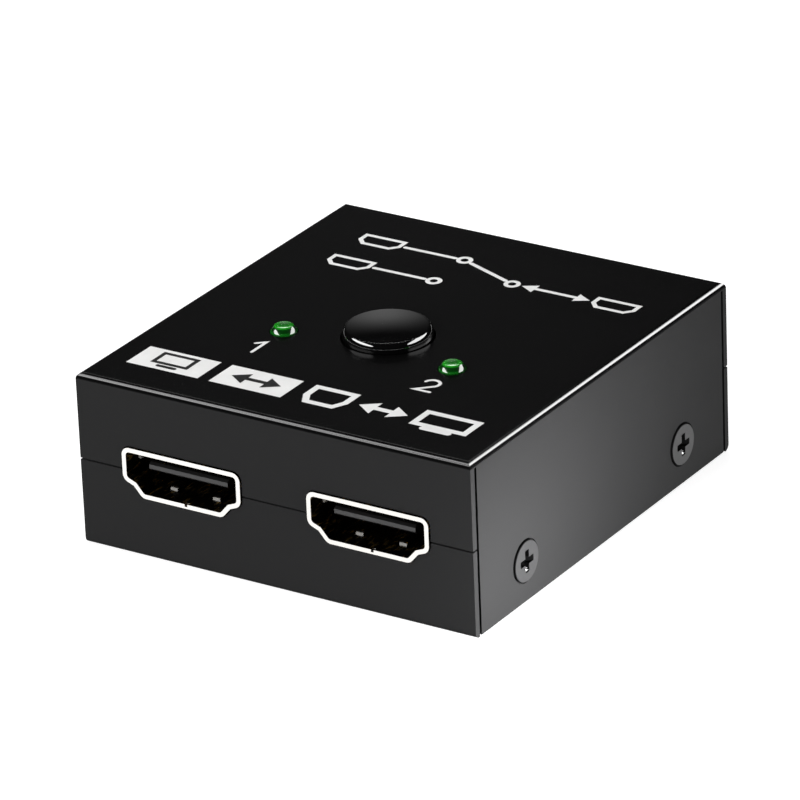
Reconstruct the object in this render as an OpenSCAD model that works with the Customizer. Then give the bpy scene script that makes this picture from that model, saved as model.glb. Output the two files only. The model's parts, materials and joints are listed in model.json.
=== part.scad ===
// Two-way push-button switch box: a folded sheet-metal case, two front sockets,
// one common rear socket, two indicators and a latching push button.
// Frame: X to the right, Y to the back, Z up, origin under the middle of the case, millimetres.

/* [Case] */
// Width of the case, left to right
body_w = 49.2; // [47.4:0.1:70]
// Depth of the case, front to back
body_d = 52.8; // [51.5:0.1:80]
// Height of the case without the button
body_h = 20; // [18.5:0.1:30]
// Thickness of the sheet metal
sheet_t = 0.75; // [0.5:0.05:1.2]
// Outer radius of the bends
bend_r = 0.7; // [0.3:0.05:1.5]
// Height of the seam between cover and tray
seam_z = 10; // [8.6:0.1:11.4]
// Gap along the seam
seam_gap = 0.2; // [0.1:0.05:0.5]
// Gap between a side panel and the flap beside it
corner_gap = 0.4; // [0.2:0.05:0.8]
// Gap between a side panel and the tray flange behind it
flange_gap = 0.15; // [0.05:0.05:0.4]
// Height of the tray flanges
flange_h = 8.6; // [7:0.1:10]

/* [Sockets] */
// Spacing of the two front sockets
port_pitch = 23.36; // [17:0.02:25]
// Sideways place of the two front sockets
port_shift = 0.16; // [-0.4:0.02:0.4]
// Height of the middle of the socket openings
port_mid_z = 9.9; // [9:0.1:11]
// Inner width of a socket opening
port_w = 14; // [13.4:0.1:15]
// Inner height of a socket opening
port_h = 4.55; // [4.2:0.05:5.5]
// Height of the straight sides of an opening
port_side_h = 2.95; // [2.5:0.05:3.2]
// Width of the step below each straight side
port_step_w = 1.15; // [0.8:0.05:1.4]
// Drop of that step
port_step_h = 0.45; // [0.2:0.05:0.6]
// Width of the flat floor of an opening
port_floor_w = 9.7; // [8.5:0.1:10.5]
// Thickness of the socket shell
shell_t = 0.3; // [0.2:0.05:0.4]
// Length of the socket shell
shell_l = 11; // [10.4:0.1:13]
// Width of the flared rim round the opening
rim_w = 0.5; // [0.4:0.02:0.8]
// Depth of the flared rim
rim_t = 0.4; // [0.3:0.05:0.7]
// Distance by which the rim stands proud of the case
rim_proud = 0.2; // [0:0.05:0.5]
// Clearance between the rim and the cutout in the case
port_clear = 0.12; // [0.1:0.02:0.4]
// Thickness of the contact tongue
tongue_t = 1; // [0.8:0.05:1.2]
// Width of the contact tongue
tongue_w = 10; // [9.8:0.1:11.4]
// Depth of the tongue's tip behind the rim
tongue_in = 1.4; // [1:0.1:2.2]
// Spacing of the contacts in one row
contact_pitch = 1; // [0.9:0.05:1.05]

/* [Button] */
// Sideways place of the button and the indicators
top_shift = -0.23; // [-0.5:0.01:0.5]
// Place of the button in front of the middle of the case
button_y = -2.9; // [-5:0.1:-2.5]
// Diameter of the button cap
cap_d = 9.9; // [8:0.1:11]
// Height of the cap's edge above the case
cap_proud = 1.15; // [1.15:0.05:3]
// Rise of the cap's dome above its edge
cap_dome = 0.25; // [0.05:0.05:0.5]
// Width of the cap's rounded edge, as seen from above
cap_edge_w = 0.35; // [0.3:0.05:0.7]
// Radius of the cap's rounded edge
cap_edge_r = 1.2; // [0.75:0.05:1.3]
// Clearance round the cap in its hole
cap_clear = 0.2; // [0.1:0.05:0.5]
// Travel of the button
button_travel = 1; // [0.6:0.1:1.1]

/* [Indicators] */
// Spacing of the two indicators
led_pitch = 21.28; // [16:0.02:24]
// Place of the indicators in front of the middle of the case
led_y = -6.95; // [-8:0.05:-2]
// Diameter of an indicator lens
led_d = 3; // [2.8:0.1:4]
// Height of an indicator's dome above the case
led_proud = 1; // [0.6:0.05:1.4]
// Length of an indicator lens with its flange
led_len = 5.3; // [4.6:0.1:6.5]
// Clearance round an indicator in its hole
led_clear = 0.1; // [0.05:0.05:0.3]
// Spacing of an indicator's two leads
lead_pitch = 2.54; // [2:0.02:2.54]

/* [Screws] */
// Distance of the side screws from the middle, front and back
side_screw_y = 16.3; // [10:0.1:19]
// Height of the side screws
side_screw_z = 4.73; // [3.6:0.01:5.2]
// Thread diameter of all the screws
screw_d = 2.5; // [2:0.1:3]
// Head diameter of the side screws
side_head_d = 4.7; // [4.2:0.1:5.4]
// Height of the side screws' heads above the case
side_proud = 0.2; // [0.1:0.05:0.4]
// Length of the side screws
side_screw_len = 3; // [2.4:0.1:4]
// Clearance round a screw in its hole
screw_clear = 0.14; // [0.02:0.02:0.2]

/* [Board] */
// Thickness of the circuit board
board_t = 1.6; // [1:0.1:2]
// Gap between the board's edge and the case in front and behind
board_end_gap = 0.5; // [0.2:0.1:0.8]
// Gap between the board's edge and the tips of the side screws
board_side_gap = 0.6; // [0.3:0.1:1]
// Diameter of the board's standoffs
standoff_d = 5; // [4.4:0.1:5.4]
// Place of the front standoffs in front of the middle of the case
standoff_front_y = -10; // [-10.5:0.1:-4]
// Place of the rear standoffs behind the middle of the case
standoff_rear_y = 20.4; // [17:0.1:21]

/* [Latching switch] */
// Outer width of the switch housing
housing_w = 8; // [7.6:0.1:9]
// Height of the switch housing
housing_h = 5.6; // [5.6:0.1:6.4]
// Width of the slider in the housing
slider_w = 5.2; // [4.8:0.1:5.4]
// Height of the slider
slider_h = 2.8; // [2.8:0.1:3]
// Clearance of the slider in the housing
slider_clear = 0.15; // [0.1:0.05:0.25]
// Width of the square stem that carries the cap
stem_w = 3; // [2.4:0.1:3.2]
// Thickness of the switch's metal bracket
bracket_t = 0.3; // [0.2:0.05:0.4]
// Wire diameter of the return spring
spring_wire = 0.25; // [0.2:0.01:0.3]
// Outer diameter of the return spring
spring_d = 2.2; // [2:0.1:2.4]
// Sideways swing of the latch pin's tip over the button's travel
latch_swing = 0.45; // [0.3:0.05:0.5]

/* [Chip] */
// Place of the switching chip behind the middle of the case
chip_y = 7; // [6:0.1:8.5]
// Width of the chip's body
chip_w = 7; // [6.6:0.1:7.6]

/* [Hidden] */
$fn = 48;

// Overshoot of cutting tools past the faces they cut
over = 1;
// Fine overlap that fuses two pieces of one solid
fuse = 0.05;

// Case
inner_r = max(bend_r - sheet_t, 0);
panel_half_d = body_d / 2 - sheet_t - corner_gap;
plate_half_w = body_w / 2 - sheet_t - flange_gap;
flange_end_margin = 4.5;
flange_half_d = side_screw_y + flange_end_margin;
bend_relief = 0.6;
panel_lift = 0.1;

// Screws
side_sink = 0.05;
side_land = 0.1;
side_head_edge = 0.1;
side_cone_half = 60;
side_cone_h = (side_head_d - screw_d) / 2 / tan(side_cone_half);
collar_wall = 0.6;
collar_l = 0.6;
thread_clear = 0.03;
board_head_lip = 1;
board_head_d = screw_d + 2 * board_head_lip;
board_head_h = 1.5;
board_head_edge = 0.3;
board_screw_grip = 4;
board_screw_len = board_t + board_screw_grip;
cross_reach = 2.65;
cross_arm = 0.75;
cross_depth = 0.8;
cross_tip_r = 0.45;

// Board
opening_bottom_z = port_mid_z - port_h / 2;
board_top = opening_bottom_z - shell_t;
board_bottom = board_top - board_t;
board_half_w = body_w / 2 - side_sink - side_screw_len - board_side_gap;
board_half_d = body_d / 2 - sheet_t - board_end_gap;
pin_clear = 0.1;
pin_below = 1;
standoff_edge = 2.8;
standoff_x = board_half_w - standoff_edge;
shank_d = 3.8;
shank_clear = 0.05;
shank_lift = 0.05;

// Sockets
port_x = [port_shift - port_pitch / 2, port_shift + port_pitch / 2, 0];
port_turn = [0, 0, 180];
profile_fn = 24;
convex_r = 0.45;
concave_r = 0.3;
plug_depth = 8.2;
insulator_clear = 0.03;
tongue_chamfer = 0.27;
tongue_drop = 1.87;
tongue_mid = opening_bottom_z + port_h - tongue_drop;
slit_x = 0.47;
slit_w = 0.34;
slit_depth = 0.28;
leg_w = 1.2;
leg_front = 3.6;
leg_back = 8.4;
finger_w = 0.9;
finger_gap = 0.3;
finger_front = 2.2;
finger_back = 6.8;
finger_bend = 0.3;
finger_flare = 0.15;
finger_flare_l = 0.25;
finger_root = 0.3;
top_finger_x = 3.2;
floor_finger_x = 2.7;
side_finger_drop = 1.35;
contact_w = 0.3;
contact_t = 0.15;
contact_start = 0.6;
upper_contacts = 10;
lower_contacts = 9;
upper_leg_gap = 0.55;
lower_leg_gap = 0.05;
contact_foot = 1.4;

// Indicators
led_r = led_d / 2;
led_dome_h = 0.8;
led_dome_z = body_h + led_proud - led_dome_h;
led_base_z = body_h + led_proud - led_len;
led_flange_w = 0.4;
led_flange_r = led_r + led_flange_w;
led_flange_h = 1;
led_flat_w = 0.15;
led_flat = led_r + led_flat_w;
lead_w = 0.4;
lead_jog_h = 0.3;
lead_jog_z = led_base_z + lead_jog_h;
lead_post_x = 0.55;
lead_post_h = 2.2;
lead_post_z = led_base_z + lead_post_h;
cup_r = 0.45;
cup_h = 0.5;
cup_floor_r = 0.2;
cup_depth = 0.3;

// Latching switch
housing_floor_t = 1;
cavity_floor = board_top + housing_floor_t;
housing_top = board_top + housing_h;
cavity_w = slider_w + 2 * slider_clear;
slider_stop = 0.1;
slider_top = housing_top - slider_stop;
slider_bottom = slider_top - slider_h;
bracket_top = housing_top + bracket_t;
bracket_leg_w = 5;
bracket_tail_w = 1.2;
stem_clear = 0.2;
spring_pocket_h = 2;
spring_pocket_clear = 0.2;
spring_seat_gap = 0.02;
spring_turns = 4.5;
spring_steps = 12;
spring_sides = 6;
spring_pin_clear = 0.15;
spring_pin_h = 0.6;
spring_bottom = cavity_floor + spring_seat_gap;
spring_top = slider_bottom + spring_pocket_h - spring_seat_gap;
terminal_pitch = 2;
terminal_w = 0.8;
terminal_t = 0.3;
blade_t = 0.3;
blade_h = 0.8;
blade_drop = 1;
blade_proud = slider_clear / 2;
blade_w = 2 * terminal_pitch + terminal_w / 2;
latch_leg_r = 0.22;
latch_bar_w = 0.52;
latch_run_clear = 0.05;
latch_room = 0.15;
latch_arm = 2.8;
latch_tip_drop = 0.6;
latch_tip_z = slider_top - button_travel - latch_tip_drop;
latch_pivot_z = latch_tip_z - latch_arm;
latch_bar_in = 0.32;
latch_bar_y = housing_w / 2 - latch_bar_in;
latch_pivot_depth = 0.85;
cam_depth = 0.6;
cam_tip_gap = 0.1;
cam_clear = 0.13;
cam_r = latch_leg_r + cam_clear;
cam_notch = 0.45;

// Button cap
cap_bottom_gap = 0.4;
cap_bottom = bracket_top + button_travel + cap_bottom_gap;
cap_edge_z = body_h + cap_proud;
cap_wall = 1.1;
cap_roof = 1.4;
cap_edge_drop = sqrt(cap_edge_r * cap_edge_r - pow(cap_edge_r - cap_edge_w, 2));
cap_flat_r = cap_d / 2 - cap_edge_w;
dome_fn = 360;
cap_dome_r = (cap_flat_r * cap_flat_r + cap_dome * cap_dome) / (2 * cap_dome);
cap_boss_wall = 1;
cap_boss_lift = 0.5;
cap_fit = 0.03;
stem_top = cap_edge_z - cap_roof;

// Chip and small parts
chip_h = 1.4;
chip_lift = 0.1;
chip_lead_n = 12;
chip_lead_pitch = 0.5;
chip_lead_w = 0.22;
chip_lead_t = 0.15;
chip_lead_reach = 1;
chip_shoulder = 0.35;
small_l = 1.6;
small_w = 0.8;
capacitor_h = 0.8;
resistor_h = 0.45;
small_pitch = 2.4;
small_gap = 1.3;
small_x = chip_w / 2 + chip_lead_reach + small_gap + small_l / 2;
array_l = 2.9;
array_w = 1.6;
array_h = 1.1;
array_spread = 4.4;
array_gap = 1;
array_screw_gap = 0.57;
array_x = standoff_x - board_head_d / 2 - array_screw_gap - array_l / 2;
array_y = -body_d / 2 - rim_proud + shell_l + contact_foot + array_gap + array_w / 2;

// A rectangle standing on the X axis with its two upper corners rounded.
module arch(w, h, r) {
  translate([-w / 2, 0]) square([w, h - r]);
  translate([r - w / 2, 0]) square([w - 2 * r, h]);
  if (r > 0)
    for (side = [-1, 1]) translate([side * (w / 2 - r), h - r]) circle(r);
}

// A profile drawn in X and Z, drawn out along Y about the middle.
module along_y(length) {
  rotate([90, 0, 0]) linear_extrude(length, center = true) children();
}

// A profile drawn in Y and Z, drawn out along X about the middle.
module along_x(length) {
  rotate([90, 0, 90]) linear_extrude(length, center = true) children();
}

// A block whose four upper edges are rounded bends that meet in mitres.
module bent_block(w, d, h, r) {
  intersection() {
    along_y(d) arch(w, h, r);
    along_x(w) arch(d, h, r);
  }
}

// A box given by its middle in X and Y, its lower face and its size.
module post(x, y, z, w, d, h) {
  translate([x - w / 2, y - d / 2, z]) cube([w, d, h]);
}

module at_side_screws() {
  for (side = [-1, 1], end = [-1, 1])
    translate([side * body_w / 2, end * side_screw_y, side_screw_z])
      rotate([0, side * 90, 0]) children();
}

module at_standoffs() {
  for (side = [-1, 1], y = [standoff_front_y, standoff_rear_y])
    translate([side * standoff_x, y]) children();
}

// Socket frame: the rim's face at the origin, the socket running along +Y.
module at_port(i) {
  rotate(port_turn[i]) translate([port_x[i], -body_d / 2 - rim_proud, 0]) children();
}

module at_switch() {
  translate([top_shift, button_y, 0]) children();
}

module at_led(side) {
  translate([top_shift + side * led_pitch / 2, led_y, 0]) children();
}

// Cross recess cut down from the origin.
module cross_recess() {
  intersection() {
    for (turn = [0, 90])
      rotate(turn) post(0, 0, -cross_depth, cross_reach, cross_arm, cross_depth + over);
    translate([0, 0, -cross_depth])
      cylinder(cross_depth + over, cross_tip_r,
               cross_tip_r + (cross_reach / 2 - cross_tip_r) * (cross_depth + over) / cross_depth);
  }
}

// Raised countersunk side screw, its axis along Z and its head towards +Z, or the hole cut for it.
module side_screw_body(clear, head_top, length) {
  head_r = side_head_d / 2 + clear;
  shank_r = screw_d / 2 + clear;
  rotate_extrude()
    polygon([[0, head_top], [head_r - side_head_edge, head_top], [head_r, head_top - side_head_edge],
             [head_r, -side_sink - side_land], [shank_r, -side_sink - side_land - side_cone_h],
             [shank_r, -side_sink - length], [0, -side_sink - length]]);
}

module side_screw_hole() {
  side_screw_body(screw_clear, over, side_screw_len + over);
}

// Outline of a socket opening in X and Z, grown outwards by a given width.
module port_outline(grow) {
  low = opening_bottom_z;
  step_z = low + port_h - port_side_h;
  half = [[port_w / 2, low + port_h], [port_w / 2, step_z],
          [port_w / 2 - port_step_w, step_z - port_step_h], [port_floor_w / 2, low]];
  mirrored = [for (i = [len(half) - 1:-1:0]) [-half[i][0], half[i][1]]];
  offset(r = grow, $fn = profile_fn)
    offset(r = -concave_r, $fn = profile_fn) offset(delta = concave_r)
      offset(r = convex_r, $fn = profile_fn) offset(delta = -convex_r)
        polygon(concat(half, mirrored));
}

// The outline drawn out along +Y from a given depth.
module port_bar(grow, from, length) {
  translate([0, from, 0]) rotate([90, 0, 0]) mirror([0, 0, 1])
    linear_extrude(length) port_outline(grow);
}

module port_cutouts() {
  for (i = [0:2])
    at_port(i) port_bar(rim_w + port_clear, -over, rim_proud + sheet_t + 2 * over);
}

module top_cover() {
  color("#1a1a1c") difference() {
    bent_block(body_w, body_d, body_h, bend_r);
    translate([0, 0, -over])
      bent_block(body_w - 2 * sheet_t, body_d - 2 * sheet_t, body_h - sheet_t + over, inner_r);
    cover_trim();
    port_cutouts();
    at_switch() translate([0, 0, body_h - sheet_t - over])
      cylinder(sheet_t + 2 * over, d = cap_d + 2 * cap_clear);
    for (side = [-1, 1])
      at_led(side) translate([0, 0, body_h - sheet_t - over])
        cylinder(sheet_t + 2 * over, d = led_d + 2 * led_clear);
    at_side_screws() side_screw_hole();
  }
}

// What is cut off the bent block to leave half-height flaps, free corners and raised panels.
module cover_trim() {
  flap_bottom = seam_z + seam_gap / 2;
  post(0, 0, -over, body_w + over, body_d + over, over + panel_lift);
  for (end = [-1, 1])
    post(0, end * (panel_half_d + body_d / 2), -over, body_w + over, body_d, flap_bottom + over);
  for (side = [-1, 1], end = [-1, 1])
    post(side * body_w / 2, end * (panel_half_d + corner_gap / 2), -over,
         2 * sheet_t + fuse, corner_gap, body_h - max(bend_r, sheet_t) + over);
}

module bottom_tray() {
  wall_top = seam_z - seam_gap / 2;
  color("#1c1c1e") difference() {
    union() {
      tray_channel(wall_top);
      tray_flanges();
    }
    port_cutouts();
    at_side_screws() side_screw_hole();
    at_standoffs() translate([0, 0, -over])
      cylinder(sheet_t + 2 * over, d = shank_d + 2 * shank_clear);
  }
}

// Floor with its front and back walls, notched at the sides for the cover's panels.
module tray_channel(wall_top) {
  difference() {
    translate([0, 0, wall_top]) mirror([0, 0, 1]) along_x(body_w) difference() {
      arch(body_d, wall_top, bend_r);
      translate([0, -over]) arch(body_d - 2 * sheet_t, wall_top - sheet_t + over, inner_r);
    }
    for (side = [-1, 1]) {
      post(side * (plate_half_w + body_w / 2), 0, -over,
           body_w, body_d - 2 * sheet_t, body_h + over);
      post(side * (plate_half_w - bend_r + body_w / 2), 0, -over,
           body_w, 2 * (flange_half_d + bend_relief), body_h + over);
    }
  }
}

// Side flanges bent up from the floor, with threaded collars for the side screws.
module tray_flanges() {
  translate([0, 0, flange_h]) mirror([0, 0, 1]) along_y(2 * flange_half_d) difference() {
    arch(2 * plate_half_w, flange_h, bend_r);
    translate([0, -over]) arch(2 * (plate_half_w - sheet_t), flange_h - sheet_t + over, inner_r);
  }
  at_side_screws() translate([0, 0, -2 * sheet_t - flange_gap - collar_l])
    cylinder(collar_l + fuse, d = screw_d + 2 * (screw_clear + collar_wall));
}

module side_screws() {
  color("#77787b") at_side_screws() difference() {
    side_screw_body(0, side_proud, side_screw_len);
    translate([0, 0, side_proud]) cross_recess();
  }
}

module circuit_board() {
  color("#0d1410") translate([0, 0, board_bottom]) linear_extrude(board_t) difference() {
    square([2 * board_half_w, 2 * board_half_d], center = true);
    at_standoffs() circle(d = screw_d + 2 * screw_clear);
    for (i = [0:2]) at_port(i) port_leg_plan(pin_clear);
    for (side = [-1, 1]) at_led(side) lead_plan(pin_clear);
    at_switch() terminal_plan(pin_clear);
    at_switch() bracket_tail_plan(pin_clear);
  }
}

module board_standoffs() {
  color("#c9b98a") at_standoffs() difference() {
    union() {
      translate([0, 0, sheet_t]) cylinder(board_bottom - sheet_t, d = standoff_d);
      translate([0, 0, shank_lift]) cylinder(sheet_t - shank_lift + fuse, d = shank_d);
    }
    cylinder(board_top, d = screw_d + 2 * thread_clear);
  }
}

module board_screws() {
  head_r = board_head_d / 2;
  color("#b9bcc0") at_standoffs() translate([0, 0, board_top]) difference() {
    rotate_extrude()
      polygon([[0, board_head_h], [head_r - board_head_edge, board_head_h],
               [head_r, board_head_h - board_head_edge], [head_r, 0], [screw_d / 2, 0],
               [screw_d / 2, -board_screw_len], [0, -board_screw_len]]);
    translate([0, 0, board_head_h]) cross_recess();
  }
}

// Plan of a socket shell's four solder legs.
module port_leg_plan(clear) {
  for (side = [-1, 1], y = [leg_front, leg_back])
    translate([side * (port_w + shell_t) / 2, y])
      square([shell_t + 2 * clear, leg_w + 2 * clear], center = true);
}

module port_shell(i) {
  leg_top = opening_bottom_z + port_h / 2;
  color("#cfcbc2") at_port(i) {
    difference() {
      union() {
        port_bar(shell_t, 0, shell_l);
        port_bar(rim_w, 0, rim_t);
      }
      port_bar(0, -over, shell_l + 2 * over);
      at_fingers() finger_window();
      post(slit_x, 0, opening_bottom_z - slit_depth, slit_w, 2 * rim_t, slit_depth + over);
    }
    at_fingers() finger_leaf();
    translate([0, 0, board_bottom - pin_below])
      linear_extrude(leg_top - board_bottom + pin_below) port_leg_plan(0);
  }
}

// Places of the spring fingers: two in the roof, two in the floor and one in each side,
// each with its wall's outer side turned towards +Z.
module at_fingers() {
  roof = opening_bottom_z + port_h;
  for (side = [-1, 1]) {
    translate([side * top_finger_x, 0, roof]) children();
    translate([side * floor_finger_x, 0, opening_bottom_z]) rotate([0, 180, 0]) children();
    translate([side * port_w / 2, 0, roof - side_finger_drop]) rotate([0, side * 90, 0]) children();
  }
}

module finger_window() {
  post(0, (finger_back + finger_front) / 2, -fuse, finger_w + 2 * finger_gap,
       finger_back - finger_front, 2 * shell_t);
}

// A leaf rooted behind its window that slopes into the opening, with its tip flared back out.
module finger_leaf() {
  tip = finger_front + finger_gap;
  touch = tip + finger_flare_l;
  root = finger_back + finger_root;
  tip_in = finger_bend - finger_flare;
  along_x(finger_w)
    polygon([[root, 0], [root, shell_t], [touch, shell_t - finger_bend], [tip, shell_t - tip_in],
             [tip, -tip_in], [touch, -finger_bend]]);
}

module port_insulator(i) {
  tip = tongue_in;
  low = tongue_mid - tongue_t / 2;
  high = tongue_mid + tongue_t / 2;
  color("#17171a") at_port(i) difference() {
    union() {
      port_bar(-insulator_clear, plug_depth, shell_l - plug_depth);
      along_x(tongue_w)
        polygon([[tip, low + tongue_chamfer], [tip + tongue_chamfer, low], [plug_depth + fuse, low],
                 [plug_depth + fuse, high], [tip + tongue_chamfer, high], [tip, high - tongue_chamfer]]);
    }
    port_contact_rows();
  }
}

// Both rows of contacts: the upper row lies on the tongue, the lower row under it.
module port_contact_rows() {
  contact_row(upper_contacts, tongue_mid + tongue_t / 2 - contact_t, shell_l + upper_leg_gap);
  contact_row(lower_contacts, tongue_mid - tongue_t / 2, shell_l + lower_leg_gap);
}

module contact_row(count, strip_z, leg_from) {
  for (k = [0:count - 1])
    translate([(k - (count - 1) / 2) * contact_pitch, 0, 0]) contact_strip(strip_z, leg_from);
}

// One contact: a strip along the tongue, a leg down behind the socket and a foot on the board.
module contact_strip(strip_z, leg_from) {
  start = tongue_in + contact_start;
  leg_to = leg_from + contact_t;
  foot_to = shell_l + contact_foot;
  along_x(contact_w)
    polygon([[start, strip_z], [start, strip_z + contact_t], [leg_to, strip_z + contact_t],
             [leg_to, board_top + contact_t], [foot_to, board_top + contact_t],
             [foot_to, board_top], [leg_from, board_top], [leg_from, strip_z]]);
}

module port_contacts(i) {
  color("#c9a227") at_port(i) port_contact_rows();
}

// Plan of an indicator's two leads.
module lead_plan(clear) {
  for (side = [-1, 1])
    translate([side * lead_pitch / 2, 0]) square(lead_w + 2 * clear, center = true);
}

module led_lens(side) {
  color("#128a1e") at_led(side) difference() {
    union() {
      translate([0, 0, led_dome_z]) intersection() {
        scale([1, 1, led_dome_h / led_r]) sphere(led_r);
        cylinder(led_r, r = led_r);
      }
      translate([0, 0, led_base_z]) cylinder(led_dome_z - led_base_z, r = led_r);
      intersection() {
        translate([0, 0, led_base_z]) cylinder(led_flange_h, r = led_flange_r);
        translate([-led_flat, -led_d, led_base_z - over]) cube([2 * led_d, 2 * led_d, led_len]);
      }
    }
    led_frame();
  }
}

// The two leads, which step inwards inside the lens; one carries the cup.
module led_frame() {
  foot_z = board_bottom - pin_below;
  jog_from = lead_post_x;
  jog_to = lead_pitch / 2 + lead_w / 2;
  translate([0, 0, foot_z]) linear_extrude(lead_jog_z - foot_z + fuse) lead_plan(0);
  for (side = [-1, 1]) {
    post(side * (jog_from + jog_to) / 2, 0, lead_jog_z, jog_to - jog_from, lead_w, lead_w);
    post(side * (jog_from + lead_w / 2), 0, lead_jog_z, lead_w, lead_w, lead_post_z - lead_jog_z);
  }
  // The cup's arm reaches back from its post to the lens axis.
  post(-jog_from / 2, 0, lead_post_z - lead_w, jog_from + fuse, lead_w, lead_w);
  translate([0, 0, lead_post_z - fuse]) difference() {
    cylinder(cup_h + fuse, r = cup_r);
    translate([0, 0, cup_h + fuse - cup_depth])
      cylinder(cup_depth + fuse, cup_floor_r, cup_r - fuse);
  }
}

module led_leads(side) {
  color("#b8b8b4") at_led(side) led_frame();
}

module button_cap() {
  boss_d = stem_w * sqrt(2) + 2 * cap_boss_wall;
  color("#101012") at_switch() difference() {
    cap_body();
    difference() {
      translate([0, 0, cap_bottom - over])
        cylinder(stem_top - cap_bottom + over, d = cap_d - 2 * cap_wall);
      translate([0, 0, cap_bottom + cap_boss_lift])
        cylinder(stem_top - cap_bottom, d = boss_d);
    }
    post(0, 0, cap_bottom - over, stem_w + 2 * cap_fit, stem_w + 2 * cap_fit,
         stem_top - cap_bottom + over);
  }
}

// The solid cap: a straight wall, a rounded edge and a shallow dome.
module cap_body() {
  intersection() {
    rotate_extrude() {
      translate([0, cap_bottom]) square([cap_d / 2, cap_edge_z - cap_edge_drop - cap_bottom]);
      translate([0, cap_bottom]) square([cap_d / 2 - cap_edge_r, cap_edge_z - cap_bottom + cap_dome]);
      translate([cap_d / 2 - cap_edge_r, cap_edge_z - cap_edge_drop]) circle(cap_edge_r);
    }
    translate([0, 0, cap_edge_z + cap_dome - cap_dome_r]) sphere(cap_dome_r, $fn = dome_fn);
  }
}

module switch_plunger() {
  color("#e8e6df") at_switch() difference() {
    union() {
      post(0, 0, slider_bottom, slider_w, slider_w, slider_h);
      post(0, 0, slider_top - fuse, stem_w, stem_w, stem_top - slider_top + fuse);
    }
    translate([0, 0, slider_bottom - over])
      cylinder(spring_pocket_h + over, d = spring_d + 2 * spring_pocket_clear);
    contact_blades();
    cam_track();
  }
}

// Heart-shaped track in the slider's back face for the latch pin's tip.
module cam_track() {
  start = [0, latch_tip_z];
  pressed = [latch_swing, latch_tip_z + button_travel];
  hold = [0, latch_tip_z + button_travel - cam_notch];
  release = [-latch_swing, latch_tip_z + button_travel];
  points = [start, pressed, hold, release];
  for (k = [0:3]) cam_groove(points[k], points[(k + 1) % 4]);
}

// One straight groove between two points given in X and Z.
module cam_groove(from, to) {
  run = to - from;
  translate([from[0], slider_w / 2 - cam_depth, from[1]]) rotate([0, atan2(run[0], run[1]), 0])
    rotate([-90, 0, 0]) linear_extrude(cam_depth + over) {
      circle(cam_r);
      translate([0, -norm(run)]) circle(cam_r);
      translate([-cam_r, -norm(run)]) square([2 * cam_r, norm(run)]);
    }
}

// Two contact blades let into the slider's sides.
module contact_blades() {
  blade_x = slider_w / 2 + blade_proud - blade_t / 2;
  for (side = [-1, 1])
    post(side * blade_x, 0, slider_top - blade_drop - blade_h, blade_t, blade_w, blade_h);
}

module moving_contacts() {
  color("#c7a35a") at_switch() contact_blades();
}

// Point of the spring's wire surface: step along the helix, side round the wire.
function spring_point(step, side) =
  let (wire_r = spring_wire / 2,
       coil_r = spring_d / 2 - wire_r,
       rise = spring_top - spring_bottom - spring_wire,
       turn = 360 * step / spring_steps,
       climb = rise / spring_turns / (2 * PI * coil_r),
       lean = atan(climb),
       round = 360 * side / spring_sides,
       middle = spring_bottom + wire_r + rise * step / (spring_turns * spring_steps),
       out = coil_r + wire_r * cos(round),
       aside = wire_r * sin(round) * sin(lean))
  [out * cos(turn) + aside * sin(turn), out * sin(turn) - aside * cos(turn),
   middle + wire_r * sin(round) * cos(lean)];

module return_spring() {
  last = spring_turns * spring_steps;
  end = last * spring_sides;
  points = [for (i = [0:last], j = [0:spring_sides - 1]) spring_point(i, j)];
  wall = [for (i = [0:last - 1], j = [0:spring_sides - 1], half = [0, 1])
    let (a = i * spring_sides + j,
         b = i * spring_sides + (j + 1) % spring_sides)
    half == 0 ? [a, b, a + spring_sides] : [b, b + spring_sides, a + spring_sides]];
  caps = concat(
    [for (j = [1:spring_sides - 2]) [0, j + 1, j]],
    [for (j = [1:spring_sides - 2]) [end, end + j, end + j + 1]]);
  color("#9a9ca0") at_switch() polyhedron(points, concat(wall, caps), convexity = 10);
}

// Bent wire staple: a pivot leg, an upright bar and a tip leg that runs in the cam track.
module latch_pin() {
  tip_y = slider_w / 2 - cam_depth + cam_tip_gap;
  pivot_y = latch_bar_y - latch_pivot_depth;
  color("#8e9095") at_switch() {
    post(0, latch_bar_y, latch_pivot_z - latch_bar_w / 2, latch_bar_w, latch_bar_w,
         latch_arm + latch_bar_w);
    translate([0, pivot_y, latch_pivot_z]) rotate([-90, 0, 0])
      cylinder(latch_bar_y - pivot_y, r = latch_leg_r);
    translate([0, tip_y, latch_tip_z]) rotate([-90, 0, 0])
      cylinder(latch_bar_y - tip_y, r = latch_leg_r);
  }
}

module switch_housing() {
  color("#202024") at_switch() difference() {
    union() {
      difference() {
        post(0, 0, board_top, housing_w, housing_w, housing_h);
        post(0, 0, cavity_floor, cavity_w, cavity_w, housing_h);
      }
      translate([0, 0, cavity_floor - fuse])
        cylinder(spring_pin_h + fuse, d = spring_d - 2 * spring_wire - 2 * spring_pin_clear);
    }
    terminal_posts();
    latch_recess();
  }
}

// Room for the latch pin in the housing's back wall: recess, pivot hole and tip window.
module latch_recess() {
  swing_room = latch_swing + latch_bar_w / 2 + latch_room;
  bar_room = latch_bar_w / 2 + latch_room;
  front_y = latch_bar_y - bar_room;
  depth = housing_w / 2 - front_y + over;
  window_l = slider_w / 2;
  post(0, front_y + depth / 2, latch_pivot_z - bar_room, 2 * swing_room, depth,
       latch_arm + 2 * bar_room);
  post(0, front_y - window_l / 2, latch_tip_z - bar_room, 2 * swing_room, window_l + fuse,
       2 * bar_room);
  translate([0, latch_bar_y - latch_pivot_depth - latch_run_clear, latch_pivot_z]) rotate([-90, 0, 0])
    cylinder(latch_pivot_depth, r = latch_leg_r + latch_run_clear);
}

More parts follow.
